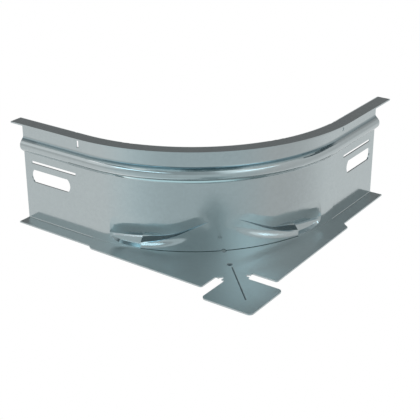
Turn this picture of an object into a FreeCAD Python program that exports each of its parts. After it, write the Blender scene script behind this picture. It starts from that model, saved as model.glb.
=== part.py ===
import FreeCAD, Part
import math
import os

from FreeCAD import Vector

# Inner corner piece of a cable tray bend, pressed from thin galvanised sheet.
# Sizes are in millimetres. The model is drawn about the corner point where the
# front faces of the two legs would cross, on the top face of the floor plate.
# One leg runs along -X with its front face on Y = 0, the other along +Y with
# its front face on X = 0, and the piece is the same on both sides of X = -Y.

# sheet
sheet = 0.8              # thickness of the steel
bend_radius = 1.0        # inside radius of the rim's fold
leg_fold_radius = 0.5    # and of the fold between wall and plate, along the legs
curve_fold_radius = 0.1  # and round the curve

# side wall
wall_height = 60.2       # top of the plate to the top of the rim
curve_radius = 96.0      # front face of the curved wall
leg_length = 47.65       # straight wall beyond each end of the curve
rim_width = 8.4          # rim, from the front face of the wall to its free edge

# rolled bead below the rim, standing out on the front face
bead_below_rim = 15.9    # from the top of the rim to its middle
bead_height = 8.8
bead_depth = 2.9
bead_crown_radius = 3.6
bead_foot_radius = 1.0
bead_slope = 0.95        # run of each flank, as a share of the bead's depth

# oblong bolt slot in each leg
slot_from_end = 4.6
slot_length = 28.5
slot_width = 7.6
slot_below_bead = 17.6   # from the middle of the bead to its own
slot_end_rise = 1.8      # how far its ends bulge

# thin slot above it
thin_slot_from_end = 5.0
thin_slot_length = 32.5
thin_slot_width = 1.6
thin_slot_below_bead = 9.4

# upright relief slit that runs from the wall into the rim fold
relief_from_end = 39.1
relief_width = 1.7
relief_height = 9.1      # below the top of the rim
relief_into_rim = 1.0

# dent pressed into the foot of the curved wall at each end of the slit: degrees round
# the curve, depth, and the heights of its top, its crease, the ledge under the crease
# (with its share of the depth) and its shoulder
attached_dent = [
    (7.0, 0.1, 18.0, 6.6, 5.0, 0.60, 3.6),
    (9.0, 1.8, 18.5, 5.8, 3.4, 0.68, 2.1),
    (11.5, 3.1, 19.0, 5.4, 2.2, 0.66, 1.0),
    (14.5, 3.7, 19.5, 5.5, 1.7, 0.64, 0.5),
    (18.0, 4.0, 20.0, 5.9, 1.5, 0.62, 0.4),
]
free_dent = [
    (18.0, 3.6, 19.5, 6.1, 4.6, 0.5, 3.0),
    (21.0, 3.2, 19.6, 7.0, 5.6, 0.5, 4.1),
    (24.5, 2.5, 20.0, 8.0, 6.9, 0.5, 5.7),
    (28.0, 1.6, 21.0, 9.3, 8.6, 0.5, 7.8),
    (32.5, 0.9, 23.0, 12.1, 11.7, 0.5, 11.2),
    (37.0, 0.45, 26.0, 15.4, 15.15, 0.5, 14.8),
    (41.0, 0.1, 28.0, 18.0, 17.8, 0.5, 17.5),
]
dent_bottom = 0.1
dent_clear = 0.15        # how far in front of the wall its faces run out
dent_side_share = 0.28   # of its depth, halfway between top and crease
dent_top_radius = 30.0
dent_side_radius = 12.0
dent_crease_radius = 0.4
attached_shoulder_radius = 0.2
free_shoulder_radius = 1.9

# floor plate
strip_width = 8.2        # narrow strip along each leg, where it ends
edge_taper = 0.01        # how much the front edges run out, per length of leg
left_plate_width = 11.1  # wider middle part at its notch, from the leg's front face
right_plate_width = 13.2
left_step_from_end = 55.0   # where the strip widens
right_step_from_end = 51.8
step_run = 3.2           # length of the slope at the step
step_round = 1.0
plate_corner_round = 1.6
foot_gap = 0.8           # open slit between the plate and the curved wall
foot_gap_start = 18.0    # degrees round the curve from each leg
pilot_radius = 1.3       # small notch halfway along the slit

# square tab at the corner, between two notches
tab_back = 9.0           # from the corner point back to the neck side
tab_reach = 20.4         # from the corner point out to the tab's edges
tab_round = 2.6
notch_width = 6.2
notch_inner = 0.4        # how far the notches pass the leg's front face
notch_inner_slope = 0.25 # how much deeper they are on the side away from the tab
notch_hole_radius = 1.3  # small round in the inner edge of each notch

# slit along the diagonal of the tab, with a small hole beyond its inner end
tab_slit_start = 20.6    # distance from the corner point, towards the curve
tab_slit_end = 14.4      # distance from the corner point, out on the tab
tab_slit_width = 0.9
tab_slit_offset = 0.6    # from the diagonal, towards the right leg
hole_distance = 23.7
hole_diameter = 3.2

# derived
bead_middle = wall_height - bead_below_rim
slot_middle = bead_middle - slot_below_bead
thin_slot_middle = bead_middle - thin_slot_below_bead
relief_bottom = wall_height - relief_height
leg_end = curve_radius + leg_length
axis_x = -curve_radius
axis_y = curve_radius
through = 4 * sheet      # length that carries a cutter right through the sheet
up = Vector(0, 0, 1)


def mirrored(shape):
    """The same shape on the other leg."""
    return shape.mirror(Vector(0, 0, 0), Vector(1, 1, 0))


def rounded_wire(corners, closed):
    """Straight edges through corners (point, radius), with each corner rounded."""
    points = [corner[0] for corner in corners]
    count = len(corners)
    starts = []
    ends = []
    arcs = []
    for index, (point, radius) in enumerate(corners):
        is_end = not closed and index in (0, count - 1)
        if is_end or radius == 0:
            starts.append(point)
            ends.append(point)
            arcs.append(None)
            continue
        before = (points[index - 1] - point).normalize()
        after = (points[(index + 1) % count] - point).normalize()
        half = before.getAngle(after) / 2
        setback = radius / math.tan(half)
        middle = (before + after).normalize()
        centre = point + middle * (radius / math.sin(half))
        starts.append(point + before * setback)
        ends.append(point + after * setback)
        arcs.append(centre - middle * radius)
    edges = []
    for index in range(count):
        if arcs[index] is not None:
            edges.append(Part.Arc(starts[index], arcs[index], ends[index]).toShape())
        following = (index + 1) % count
        if following == 0 and not closed:
            break
        if ends[index].distanceToPoint(starts[following]) > 1e-6:
            edges.append(Part.LineSegment(ends[index], starts[following]).toShape())
    return Part.Wire(edges)


def section_corners(foot_radius):
    """Front face of the wall in section: (out, height) and corner radius, foot first."""
    bead_low = bead_middle - bead_height / 2
    bead_high = bead_middle + bead_height / 2
    slope = bead_depth * bead_slope
    rim_under = wall_height - sheet
    foot = [((0, -sheet), 0)]
    if foot_radius:
        foot = [((leg_fold_radius, 0), 0), ((0, 0), foot_radius)]
    return foot + [
        ((0, bead_low), bead_foot_radius),
        ((bead_depth, bead_low + slope), bead_crown_radius),
        ((bead_depth, bead_high - slope), bead_crown_radius),
        ((0, bead_high), bead_foot_radius + sheet),
        ((0, rim_under), bend_radius),
        ((rim_width, rim_under), 0),
    ]


def wall_section(foot_radius):
    """Face of the wall's section where the left leg meets the curve."""
    corners = []
    for (out, height), radius in section_corners(foot_radius):
        corners.append((Vector(axis_x, -out, height), radius))
    front = rounded_wire(corners, False)
    back = front.makeOffset2D(sheet, 0, False, True)
    front_ends = [front.OrderedVertexes[0].Point, front.OrderedVertexes[-1].Point]
    back_ends = [back.OrderedVertexes[0].Point, back.OrderedVertexes[-1].Point]
    if front_ends[0].distanceToPoint(back_ends[0]) > 2 * sheet:
        back_ends.reverse()
    edges = list(front.Edges) + list(back.Edges)
    for near, far in zip(front_ends, back_ends):
        edges.append(Part.LineSegment(near, far).toShape())
    return Part.Face(Part.Wire(Part.__sortEdges__(edges)))


def turned(shape, degrees):
    """The shape turned about the axis of the curve."""
    result = shape.copy()
    result.rotate(Vector(axis_x, axis_y, 0), up, degrees)
    return result


def plain_wall():
    """Rim, bead and wall of both legs and of the curve, before its openings."""
    free = wall_section(None)
    axis = Vector(axis_x, axis_y, 0)
    leg = wall_section(leg_fold_radius).extrude(Vector(-leg_length, 0, 0))
    start = wall_section(curve_fold_radius).revolve(axis, up, foot_gap_start)
    curve = turned(free, foot_gap_start).revolve(axis, up, 90 - 2 * foot_gap_start)
    side = leg.fuse(start)
    return curve.fuse([side, mirrored(side)])


def dent_section(station, shoulder_radius, offset, front):
    """Outline between a front line and the dent's face, which is set back by offset."""
    degrees, depth, top, crease, ledge, share, shoulder = station
    deepest = free_dent[0][1]
    rise = top - crease
    corners = [
        ((dent_clear, top + rise / 4), 0),
        ((dent_clear, top), dent_top_radius),
        ((dent_clear - depth * dent_side_share, crease + rise / 2), dent_side_radius),
        ((dent_clear - depth, crease), dent_crease_radius),
        ((dent_clear - depth * share, ledge), dent_crease_radius),
        ((dent_clear, shoulder), shoulder_radius * depth / deepest),
        ((dent_clear, dent_bottom), 0),
    ]
    points = []
    for (out, height), radius in corners:
        points.append((Vector(axis_x, offset - out, height), radius))
    face = rounded_wire(points, False)
    low = Vector(axis_x, -front, dent_bottom)
    high = Vector(axis_x, -front, top + rise / 4)
    edges = list(face.Edges)
    edges.append(Part.LineSegment(points[-1][0], low).toShape())
    edges.append(Part.LineSegment(low, high).toShape())
    edges.append(Part.LineSegment(high, points[0][0]).toShape())
    return turned(Part.Wire(edges), degrees)


def dent_blocks(offset, front):
    """Solids between a curved front face and the faces of the left side's dents."""
    blocks = []
    for stations, shoulder_radius in (
        (attached_dent, attached_shoulder_radius),
        (free_dent, free_shoulder_radius),
    ):
        sections = [dent_section(each, shoulder_radius, offset, front) for each in stations]
        blocks.append(Part.makeLoft(sections, True, False))
    return blocks


def dented(wall):
    """The wall with the dents of its left side, behind which it stays as thick."""
    return wall.fuse(dent_blocks(sheet, -sheet / 2)).cut(dent_blocks(0, through))


def side_outline(plate_width, step_from_end):
    """Corners of the plate's front edge, from the left leg's end to the axis."""
    step = -leg_end + step_from_end
    neck = -tab_back
    notch = neck - notch_width
    strip_end = strip_width - edge_taper * (step_from_end - step_run)
    middle_start = plate_width - edge_taper * (notch - step)
    return [
        (Vector(-leg_end, -strip_end, 0), 0),
        (Vector(step - step_run, -strip_width, 0), step_round),
        (Vector(step, -middle_start, 0), step_round),
        (Vector(notch, -plate_width, 0), plate_corner_round),
        (Vector(notch, notch_inner + notch_inner_slope * notch_width, 0), 0),
        (Vector(neck, notch_inner, 0), 0),
        (Vector(neck, -tab_reach, 0), tab_round),
        (Vector(tab_reach, -tab_reach, 0), tab_round),
    ]


def floor_plate():
    """Flat plate with the tab, up to the foot of the wall."""
    left = side_outline(left_plate_width, left_step_from_end)
    right = []
    for point, radius in reversed(side_outline(right_plate_width, right_step_from_end)[:-1]):
        right.append((Vector(-point.y, -point.x, 0), radius))
    arc_radius = curve_radius + leg_fold_radius
    diagonal = arc_radius / math.sqrt(2)
    left_end = Vector(-leg_end, -leg_fold_radius, 0)
    left_start = Vector(axis_x, -leg_fold_radius, 0)
    right_start = Vector(leg_fold_radius, axis_y, 0)
    right_end = Vector(leg_fold_radius, leg_end, 0)
    corners = [(left_end, 0)] + left + right + [(right_end, 0), (right_start, 0)]
    front = rounded_wire(corners, False)
    arc = Part.Arc(right_start, Vector(axis_x + diagonal, axis_y - diagonal, 0), left_start)
    back = Part.LineSegment(left_start, left_end)
    edges = list(front.Edges) + [arc.toShape(), back.toShape()]
    outline = Part.Wire(Part.__sortEdges__(edges))
    return Part.Face(outline).extrude(Vector(0, 0, -sheet))


def foot_slit():
    """Cutter for the open slit in the plate along the foot of the curved wall."""
    corner = Vector(axis_x, -foot_gap, -through)
    section = Part.makePlane(foot_gap, 2 * through, corner, Vector(1, 0, 0))
    section = section.revolve(Vector(axis_x, axis_y, 0), up, 90 - 2 * foot_gap_start)
    return turned(section, foot_gap_start)


def bolt_slot():
    """Cutter for the oblong slot with bulging ends, in the left leg."""
    left = -leg_end + slot_from_end
    right = left + slot_length
    low = slot_middle - slot_width / 2
    high = slot_middle + slot_width / 2
    y = -through

    def at(x, z):
        return Vector(x, y, z)

    edges = [
        Part.LineSegment(at(left + slot_end_rise, low), at(right - slot_end_rise, low)),
        Part.Arc(at(right - slot_end_rise, low), at(right, slot_middle),
                 at(right - slot_end_rise, high)),
        Part.LineSegment(at(right - slot_end_rise, high), at(left + slot_end_rise, high)),
        Part.Arc(at(left + slot_end_rise, high), at(left, slot_middle),
                 at(left + slot_end_rise, low)),
    ]
    outline = Part.Wire([edge.toShape() for edge in edges])
    return Part.Face(outline).extrude(Vector(0, 2 * through, 0))


def thin_slot():
    """Cutter for the thin slot above the oblong one."""
    corner = Vector(-leg_end + thin_slot_from_end, -through, thin_slot_middle - thin_slot_width / 2)
    return Part.makeBox(thin_slot_length, 2 * through, thin_slot_width, corner)


def relief_slit():
    """Cutter for the upright slit under the rim, which nicks the rim's back edge."""
    corner = Vector(-leg_end + relief_from_end, -relief_into_rim, relief_bottom)
    return Part.makeBox(relief_width, relief_into_rim + through, wall_height, corner)


def diagonal_cutters():
    """Cutters for the slit across the tab, the small hole and the pilot notch."""
    outward = Vector(1, -1, 0).normalize()
    across = Vector(1, 1, 0).normalize()
    drop = Vector(0, 0, -2 * through)
    lift = Vector(0, 0, through)
    start = -outward * tab_slit_start
    end = outward * tab_slit_end
    side = across * (tab_slit_width / 2)
    slit = Part.makePolygon([start - side, end - side, end + side, start + side, start - side])
    slit = Part.Face(slit)
    slit.translate(lift + across * tab_slit_offset)
    cutters = [slit.extrude(drop)]
    cutters.append(Part.makeCylinder(hole_diameter / 2, 2 * through,
                                     -outward * hole_distance + lift, Vector(0, 0, -1)))
    foot_distance = (math.sqrt(2) - 1) * curve_radius - foot_gap
    cutters.append(Part.makeCylinder(pilot_radius, 2 * through,
                                     -outward * foot_distance + lift, Vector(0, 0, -1)))
    return cutters


def notch_round():
    """Cutter for the small round in the inner edge of the left notch."""
    middle = Vector(-tab_back - notch_width / 2, notch_inner + notch_inner_slope * notch_width, 0)
    return Part.makeCylinder(notch_hole_radius, 2 * through, middle - up * through)


def corner_piece():
    body = dented(mirrored(dented(plain_wall())))
    plate = floor_plate()
    openings = []
    for cutter in (bolt_slot(), thin_slot(), relief_slit()):
        openings += [cutter, mirrored(cutter)]
    body = body.cut(openings)
    plate = plate.cut(diagonal_cutters() + [foot_slit(), notch_round(), mirrored(notch_round())])
    body = body.fuse(plate).removeSplitter()
    # the origin is the middle of the piece's own box, on its underside
    middle = (leg_end - tab_reach) / 2
    body.translate(Vector(middle, -middle, sheet))
    return body


if __name__ == "__main__":
    os.makedirs("parts", exist_ok=True)
    piece = corner_piece()
    solid = piece.Solids[0]
    solid.exportStep("parts/corner_piece.step")
    box = solid.BoundBox
    print("solids", len(piece.Solids), "valid", solid.isValid(), "volume", round(solid.Volume, 1))
    print("box", box)
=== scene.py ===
import math

import bpy
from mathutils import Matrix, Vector

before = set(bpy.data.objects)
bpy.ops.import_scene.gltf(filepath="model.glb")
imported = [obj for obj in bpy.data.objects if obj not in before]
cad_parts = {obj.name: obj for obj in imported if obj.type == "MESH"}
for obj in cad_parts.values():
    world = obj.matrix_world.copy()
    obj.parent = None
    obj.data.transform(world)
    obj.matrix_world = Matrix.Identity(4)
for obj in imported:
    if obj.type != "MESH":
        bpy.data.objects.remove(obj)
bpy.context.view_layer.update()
print("frame loaded:", ", ".join(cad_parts))


class Value:
    # a shader socket that plain arithmetic works on

    def __init__(self, graph, socket):
        self.graph = graph
        self.socket = socket

    def math(self, operation, *others):
        inputs = dict(enumerate((self, *others)))
        return self.graph.add("ShaderNodeMath", {"operation": operation}, inputs)

    def __add__(self, other):
        return self.math("ADD", other)

    __radd__ = __add__

    def __sub__(self, other):
        return self.math("SUBTRACT", other)

    def __rsub__(self, other):
        return self.graph.add("ShaderNodeMath", {"operation": "SUBTRACT"}, {0: other, 1: self})

    def __mul__(self, other):
        return self.math("MULTIPLY", other)

    __rmul__ = __mul__

    def between(self, low, high):  # 0 below low, 1 above high, smooth in between
        return self.graph.add(
            "ShaderNodeMapRange",
            {"interpolation_type": "SMOOTHSTEP"},
            {"Value": self, "From Min": low, "From Max": high},
        )

    def window(self, rise, fall):  # comes in over the first pair, goes out over the second
        return self.between(*rise) * (1 - self.between(*fall))

    def band(self, middle, half, soft):
        rise = (middle - half - soft, middle - half)
        return self.window(rise, (middle + half, middle + half + soft))


class Graph:
    def __init__(self, owner):
        owner.use_nodes = True
        self.tree = owner.node_tree
        self.tree.nodes.clear()

    def add(self, kind, settings=None, inputs=None, output=0):
        node = self.tree.nodes.new(kind)
        for name, value in (settings or {}).items():
            setattr(node, name, value)
        for name, value in (inputs or {}).items():
            socket = self.find(node.inputs, name)
            if isinstance(value, Value):
                self.tree.links.new(value.socket, socket)
            elif socket.type == "RGBA":
                socket.default_value = (*value, 1)
            else:
                socket.default_value = value
        if node.outputs:
            return Value(self, self.find(node.outputs, output))

    def find(self, sockets, name):  # by number, or by name among the sockets in use
        if isinstance(name, int):
            return sockets[name]
        return [each for each in sockets if each.name == name and each.enabled][0]

    def mixColours(self, share, first, second):
        inputs = {"Factor": share, "A": first, "B": second}
        return self.add("ShaderNodeMix", {"data_type": "RGBA"}, inputs, "Result")

    def vector(self, operation, inputs, output=0):
        return self.add("ShaderNodeVectorMath", {"operation": operation}, inputs, output)


sheet = {
    # centre of the curve, in metres, and the radius of the wall's outer face
    "centre": (-0.034375, 0.034375),
    "radius": 0.096,
    "thickness": 0.0008,
    # how squarely a face has to look away from the centre to count as the outer one
    "outerFacing": (0.001, 0.01),
    "rightHalf": (0.49, 0.51),
}


class BendPlaces:
    # places on the bent sheet, for masks: turn goes from 0 on the left leg to 1 on the right one

    def __init__(self, graph):
        self.place = graph.add("ShaderNodeTexCoord", {}, {}, "Object")
        node = graph.add("ShaderNodeSeparateXYZ", {}, {0: self.place}).socket.node
        self.x, self.y, height = [Value(graph, node.outputs[name]) for name in "XYZ"]
        across = (self.x - sheet["centre"][0]).math("MAXIMUM", 0.0)
        along = (sheet["centre"][1] - self.y).math("MAXIMUM", 0.0)
        self.away = (across * across + along * along).math("SQRT")
        self.turn = across.math("ARCTAN2", along) * (2 / math.pi)
        self.right = self.turn.between(*sheet["rightHalf"])
        # the dents mirror each other, so one measure in degrees from the nearer leg
        self.fromLeg = self.turn.math("MINIMUM", 1 - self.turn) * 90
        outwards = graph.add("ShaderNodeCombineXYZ", {}, {0: across, 1: along * -1})
        self.normal = graph.add("ShaderNodeNewGeometry", {}, {}, "Normal")
        facing = graph.vector("DOT_PRODUCT", {0: self.normal, 1: outwards}, "Value")
        self.outerFace = facing.between(*sheet["outerFacing"])
        self.mm = (height - sheet["thickness"]) * 1000  # height above the plate


# a band is its middle, half its width and its soft edge; a pair is where a change begins and
# ends, and two pairs are where it comes and where it goes. Heights are in mm above the plate,
# reaches in degrees from the nearer leg, turns as in BendPlaces, and facing is how far a face
# looks up
steel = {
    "colour": (0.535, 0.600, 0.612),
    # colours painted in: shade, the highlights on the bead and the crease, and the highlight line
    # under the bead
    "shadeColour": (0.20, 0.30, 0.34),
    "highlightColour": (0.93, 0.97, 0.98),
    "lowerHighlightColour": (0.74, 0.97, 1.0),
    "wallRoughness": 0.13,
    "plateRoughness": 0.38,
    "middleRoughness": 0.09,
    "rollRoughness": 0.10,
    "plateFacing": (0.9, 0.99),
    "plateHeight": (0.3, 0.6),
    # painted shade where the sheet is folded above the bead, and how much of it is left on the
    # legs
    "foldHeight": (48.2, 0.35, 0.5),
    "foldTurn": (0.45, 0.25, 0.3),
    "foldOnLegs": 0.5,
    # painted highlight streak on the bead, and the painted highlight line below it, which also
    # tilts the normal
    "streakHighlightHeight": (46.9, 0.12, 0.35),
    "streakHighlightTurn": (0.12, 0.06, 0.10),
    "curveStart": (-0.01, 0.02),
    "lowerHeight": (41.0, 0.6, 0.5),
    "lowerTurn": (0.36, 0.08, 0.24),
    "lowerTilt": 0.85,
    # crease of the dent next to each leg, a painted highlight on the left and painted shade on
    # the right: its lowest place, its height there and its climb
    "creaseLowest": 12.3,
    "creaseHeight": 4.9,
    "creaseClimb": 0.022,
    "creaseWidth": (0.1, 0.35, 0.3),
    "creaseReach": ((7.5, 9), (18, 18.2)),
    "creaseShade": 0.7,
    "creaseTilt": 0.21,
    # painted shade on the rounded edge under the free dents
    "shoulderFacing": ((0.08, 0.2), (0.66, 0.7)),
    "shoulderReach": (19, 22),
    "shoulderHeight": ((3, 4), (19, 20)),
    # painted shade on the foot within the dents next to the legs
    "insideFacing": (0.6, 0.8),
    "insideHeight": ((0.4, 0.7), (3, 3.6)),
    "insideReach": ((5, 7), (18.3, 18.6)),
    "insideShade": 0.6,
    # soft roll under each free dent: where it starts, its height there and how it climbs
    "rollStart": 18.0,
    "rollHeight": 2.6,
    "rollClimb": (0.134, 0.0117),
    "rollWidth": ((-3.4, 0.2), (-0.2, 2.9)),
    "rollEntry": (-0.3, 0.3),
    "rollFade": (4.0, 18.5),
    "rollLongerOnRight": 8,
    "rollFacing": (0.1, 0.3),
    "rollTilt": 0.68,
    # part of the wall between the dents that mirrors the tab
    "middleTurn": (0.5, 0.05, 0.12),
    "middleHeight": ((8, 16), (30, 40)),
    # faint spangle of the zinc: size in metres, change of roughness and of colour
    "spangleSize": 0.0014,
    "spangleSmoothness": 0.6,
    "spangleRoughness": 0.03,
    "spangleColour": 0.04,
    "cloudScale": 90.0,
    "cloudDetail": 4.0,
    "cloudShare": 0.6,
    "grainHeight": 0.0000004,
}


def galvanisedSteel():
    material = bpy.data.materials.new("galvanisedSteel")
    graph = Graph(material)
    bend = BendPlaces(graph)
    upwards = graph.add("ShaderNodeSeparateXYZ", {}, {0: bend.normal}, "Z")
    plate = upwards.between(*steel["plateFacing"]) * (1 - bend.mm.between(*steel["plateHeight"]))

    spangle = graph.add(
        "ShaderNodeTexVoronoi",
        {"feature": "SMOOTH_F1"},
        {
            "Vector": bend.place,
            "Scale": 1 / steel["spangleSize"],
            "Smoothness": steel["spangleSmoothness"],
        },
        "Color",
    )
    spangle = graph.add("ShaderNodeSeparateColor", {}, {0: spangle}, "Red") - 0.5
    cloud = graph.add(
        "ShaderNodeTexNoise",
        {},
        {"Vector": bend.place, "Scale": steel["cloudScale"], "Detail": steel["cloudDetail"]},
        "Fac",
    )
    cloud = cloud - 0.5

    # the bead: painted shade where the sheet is folded above it, a painted highlight streak on it
    # and a painted highlight line below
    foldShade = bend.mm.band(*steel["foldHeight"]) * bend.outerFace
    onLegs = steel["foldOnLegs"]
    foldShade = foldShade * (bend.turn.band(*steel["foldTurn"]) * (1 - onLegs) + onLegs)
    # painted highlight streak on the bead
    streak = bend.mm.band(*steel["streakHighlightHeight"]) * bend.outerFace
    streak = streak * bend.turn.band(*steel["streakHighlightTurn"])
    streak = streak * bend.turn.between(*steel["curveStart"])
    # painted highlight line below the bead, helped by a tilted normal
    lowerHighlight = bend.mm.band(*steel["lowerHeight"]) * bend.outerFace
    lowerHighlight = lowerHighlight * bend.turn.band(*steel["lowerTurn"])

    # the dents: painted highlight on the crease on the left and painted shade on it on the right,
    # painted shade on the edge and on the foot
    fromLowest = bend.fromLeg - steel["creaseLowest"]
    creaseMiddle = fromLowest * fromLowest * steel["creaseClimb"] + steel["creaseHeight"]
    crease = (bend.mm - creaseMiddle).band(*steel["creaseWidth"]) * bend.outerFace
    crease = crease * bend.fromLeg.window(*steel["creaseReach"])
    # painted highlight on the left crease, painted shade on the right one
    creaseHighlight = crease * (1 - bend.right)
    paintedCreaseShade = crease * bend.right * steel["creaseShade"]
    # painted shade on the rounded edge under the free dents
    shoulderShade = upwards.window(*steel["shoulderFacing"]) * bend.outerFace
    shoulderShade = shoulderShade * bend.fromLeg.between(*steel["shoulderReach"])
    shoulderShade = shoulderShade * bend.mm.window(*steel["shoulderHeight"])
    # painted shade on the foot within the dents
    insideShadeMask = upwards.between(*steel["insideFacing"]) * bend.mm.window(*steel["insideHeight"])
    insideShadeMask = insideShadeMask * bend.fromLeg.window(*steel["insideReach"]) * steel["insideShade"]
    # all painted shade of the dents together
    paintedShade = paintedCreaseShade.math("MAXIMUM", insideShadeMask).math("MAXIMUM", shoulderShade)

    # the painted shade and the painted highlights are mixed into the colour here
    tone = graph.mixColours(foldShade, steel["colour"], steel["shadeColour"])
    tone = graph.mixColours(streak, tone, steel["highlightColour"])
    tone = graph.mixColours(lowerHighlight, tone, steel["lowerHighlightColour"])
    tone = graph.mixColours(creaseHighlight, tone, steel["highlightColour"])
    tone = graph.mixColours(paintedShade, tone, steel["shadeColour"])
    shade = (spangle + cloud * steel["cloudShare"]) * steel["spangleColour"] + 1
    tone = graph.vector("SCALE", {0: tone, "Scale": shade})

    # the shading normal tilts as if the sheet rolled softly from under each free dent into the
    # flat wall
    start = bend.fromLeg - steel["rollStart"]
    climb, bow = steel["rollClimb"]
    rollMiddle = start * start * bow + start * climb + steel["rollHeight"]
    roll = (bend.mm - rollMiddle).window(*steel["rollWidth"]) * bend.outerFace
    reach = start - bend.right * steel["rollLongerOnRight"]
    roll = roll * start.between(*steel["rollEntry"]) * (1 - reach.between(*steel["rollFade"]))
    steep = upwards.math("ABSOLUTE").between(*steel["rollFacing"])
    roll = roll * (1 - upwards.between(*steel["rollFacing"])) * (1 - steep)

    # rougher on the plate and under the dents, and between them, where the tab would show
    tabMirror = bend.turn.band(*steel["middleTurn"]) * bend.mm.window(*steel["middleHeight"])
    roughness = plate * (steel["plateRoughness"] - steel["wallRoughness"])
    roughness = roughness + steel["wallRoughness"]
    roughness = roughness + (spangle + cloud) * steel["spangleRoughness"]
    roughness = roughness + tabMirror * steel["middleRoughness"]
    roughness = roughness + roll * steel["rollRoughness"]

    tilt = roll * steel["rollTilt"] + lowerHighlight * steel["lowerTilt"]
    tilt = creaseHighlight * steel["creaseTilt"] + tilt
    tilt = graph.add("ShaderNodeCombineXYZ", {}, {2: tilt})
    grain = graph.add(
        "ShaderNodeBump", {}, {"Strength": 1.0, "Distance": steel["grainHeight"], "Height": cloud}
    )
    normal = graph.vector("ADD", {0: grain, 1: tilt})
    normal = graph.vector("NORMALIZE", {0: normal})
    shader = graph.add(
        "ShaderNodeBsdfPrincipled",
        {},
        {"Base Color": tone, "Metallic": 1.0, "Roughness": roughness, "Normal": normal},
    )
    graph.add("ShaderNodeOutputMaterial", {}, {"Surface": shader})
    print("steel ready")
    return material


ground = {
    "size": 0.9,
    "drop": 0.00005,
    "white": (1, 1, 1),
    # painted shadow under the sheet: as the camera sees it, and as reflections see it
    "shade": (0.035, 0.055, 0.065),
    "mirrored": (0.26, 0.30, 0.31),
    # where the floor is painted in shadow under the foot gap, in mm from the wall's outer face,
    # and in metres where the sheet ends
    "shadeFrom": (-1.2, -1.0),
    "shadeTo": (7.3, 7.5),
    "sheetEnd": (0.0814, 0.0816),
    # and under the slit of the tab, in mm to both sides of the diagonal and along it
    "slitSide": (2.3, 2.4),
    "slitStart": (0, 1),
    "slitEnd": (56.0, 56.5),
}


def layFloor():
    bpy.ops.mesh.primitive_plane_add(size=ground["size"], location=(0, 0, -ground["drop"]))
    floor = bpy.context.object
    floor.name = "paleFloor"
    material = bpy.data.materials.new("paleFloor")
    graph = Graph(material)
    bend = BendPlaces(graph)
    out = (bend.away - sheet["radius"]) * 1000
    near, far = ground["sheetEnd"]
    under = out.window(ground["shadeFrom"], ground["shadeTo"])
    under = under * bend.x.between(-far, -near) * (1 - bend.y.between(near, far))
    sideways = (bend.x - sheet["centre"][0]) - (sheet["centre"][1] - bend.y)
    sideways = (sideways * (1000 / math.sqrt(2))).math("ABSOLUTE")
    slit = 1 - sideways.between(*ground["slitSide"])
    slit = slit * out.window(ground["slitStart"], ground["slitEnd"])
    under = under.math("MAXIMUM", slit)

    def glow(colour):
        return graph.add("ShaderNodeEmission", {}, {"Color": colour, "Strength": 1.0})

    def mixShaders(share, first, second):
        return graph.add("ShaderNodeMixShader", {}, {0: share, 1: first, 2: second})

    # seen straight on it is white, and reflections look past it to the studio below
    seen = graph.add("ShaderNodeLightPath", {}, {}, "Is Camera Ray")
    clear = graph.add("ShaderNodeBsdfTransparent", {}, {})
    lit = mixShaders(seen, clear, glow(ground["white"]))
    # under the sheet the floor glows dark as a painted shadow, grey in reflections
    shaded = mixShaders(seen, glow(ground["mirrored"]), glow(ground["shade"]))
    graph.add("ShaderNodeOutputMaterial", {}, {"Surface": mixShaders(under, lit, shaded)})
    floor.data.materials.append(material)
    print("floor laid")


# a made-up studio, tuned to the tones on the sheet. Azimuths run from the front of the left
# leg at 0 to that of the right leg at 90, all angles are in degrees, and the pairs that end in
# From are the elevations over which the room changes
room = {
    "white": (1.0, 1.0, 1.0),
    "front": 0.42,
    # azimuth, half width, edge softness and added level of each soft panel
    "panels": [(-34, 11, 20, 0.46), (69, 2, 17, 0.50), (150, 20, 110, 0.22)],
    "behind": 0.20,
    "behindPanel": (215, 37, 33, 1),
    "top": 0.09,
    "topFrom": (64, 72),
    "sidesPanel": (45, 132, 25, 1),
    "sidesFrom": (30, 43),
    "zenith": 1.0,
    "zenithFrom": (74, 79),
    "horizon": 0.60,
    "horizonFrom": (9, 18),
    "below": 0.76,
    "belowDip": (62, 35, 48, -0.19),
    "belowFrom": (-16, -6),
    "floor": 1.05,
    "floorFrom": (-62, -45),
    # azimuth, half width, edge, lowest, highest, edge in degrees, level of each card
    "cards": [
        (-4, 15, 9, 32, 39, 1.5, 2.3),
        (81, 8, 11, 31, 35, 1.2, 3.2),
        (-42, 18, 8, 42, 58, 3, 0.12),
        (-22, 14, 6, 41, 46, 1.5, 0.12),
        (144, 16, 8, 29.3, 40, 0.8, 0.09),
    ],
    "cardColour": (0.72, 1.0, 1.10),
    "coolPanel": (30, 25, 40, 0.8),
    "coolColour": (0.86, 1.0, 1.04),
}


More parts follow.
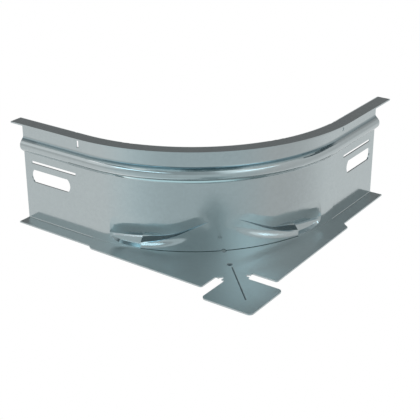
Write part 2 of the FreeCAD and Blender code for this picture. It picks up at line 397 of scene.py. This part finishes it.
def studio():
    world = bpy.data.worlds.new("studio")
    bpy.context.scene.world = world
    graph = Graph(world)
    direction = graph.add("ShaderNodeTexCoord", {}, {}, "Generated")
    height = graph.add("ShaderNodeSeparateXYZ", {}, {0: direction}, "Z")
    flat = graph.vector("MULTIPLY", {0: direction, 1: (1, 1, 0)})
    flat = graph.vector("NORMALIZE", {0: flat})

    def panel(azimuth, halfWidth, softness, added):
        towards = (math.sin(math.radians(azimuth)), -math.cos(math.radians(azimuth)), 0)
        facing = graph.vector("DOT_PRODUCT", {0: flat, 1: towards}, "Value")
        outer = math.cos(math.radians(halfWidth + softness))
        inner = math.cos(math.radians(halfWidth))
        return facing.between(outer, inner) * added

    def above(low, high):
        return height.between(math.sin(math.radians(low)), math.sin(math.radians(high)))

    def fade(start, target, share):
        return start * (1 - share) + target * share

    level = room["front"]
    for each in room["panels"]:
        level = panel(*each) + level
    # the part of the room behind the object, seen in surfaces that face up
    level = fade(level, room["behind"], panel(*room["behindPanel"]))
    sides = 1 - panel(*room["sidesPanel"])
    level = fade(level, room["top"], sides * above(*room["sidesFrom"]))
    level = fade(level, room["top"], above(*room["topFrom"]))
    level = fade(level, room["zenith"], above(*room["zenithFrom"]))
    level = fade(room["horizon"], level, above(*room["horizonFrom"]))
    cards = 0
    for azimuth, halfWidth, softness, lowest, highest, edge, target in room["cards"]:
        share = panel(azimuth, halfWidth, softness, 1) * above(lowest - edge, lowest + edge)
        share = share * (1 - above(highest - edge, highest + edge))
        level = fade(level, target, share)
        cards = share + cards
    below = panel(*room["belowDip"]) + room["below"]
    level = fade(below, level, above(*room["belowFrom"]))
    level = fade(room["floor"], level, above(*room["floorFrom"]))
    colour = graph.mixColours(panel(*room["coolPanel"]), room["white"], room["coolColour"])
    colour = graph.mixColours(cards, colour, room["cardColour"])

    # the camera sees plain white, only reflections see the studio
    seen = graph.add("ShaderNodeLightPath", {}, {}, "Is Camera Ray")
    plain = graph.add("ShaderNodeBackground", {}, {"Color": room["white"], "Strength": 1.0})
    soft = graph.add("ShaderNodeBackground", {}, {"Color": colour, "Strength": level})
    mixed = graph.add("ShaderNodeMixShader", {}, {0: seen, 1: soft, 2: plain})
    graph.add("ShaderNodeOutputWorld", {}, {"Surface": mixed})
    print("studio set")


photoView = {
    "azimuth": 34.918,
    "elevation": 24.715,
    "place": (0.309585, -0.442055, 0.25161),
    "lens": 88.58,
    "sensor": 36,
    "nearest": 0.01,
}


def placeCamera():
    data = bpy.data.cameras.new("photoCamera")
    camera = bpy.data.objects.new("photoCamera", data)
    bpy.context.collection.objects.link(camera)
    data.lens = photoView["lens"]
    data.sensor_width = photoView["sensor"]
    data.clip_start = photoView["nearest"]
    azimuth = math.radians(photoView["azimuth"])
    elevation = math.radians(photoView["elevation"])
    level = math.cos(elevation)
    back = Vector((math.sin(azimuth) * level, -math.cos(azimuth) * level, math.sin(elevation)))
    camera.location = photoView["place"]
    camera.rotation_mode = "QUATERNION"
    camera.rotation_quaternion = back.to_track_quat("Z", "Y")
    bpy.context.scene.camera = camera
    print("camera placed")


bpy.context.scene.view_settings.view_transform = "Standard"
metal = galvanisedSteel()
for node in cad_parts.values():
    for slot in node.material_slots:
        slot.material = metal
studio()
layFloor()
placeCamera()
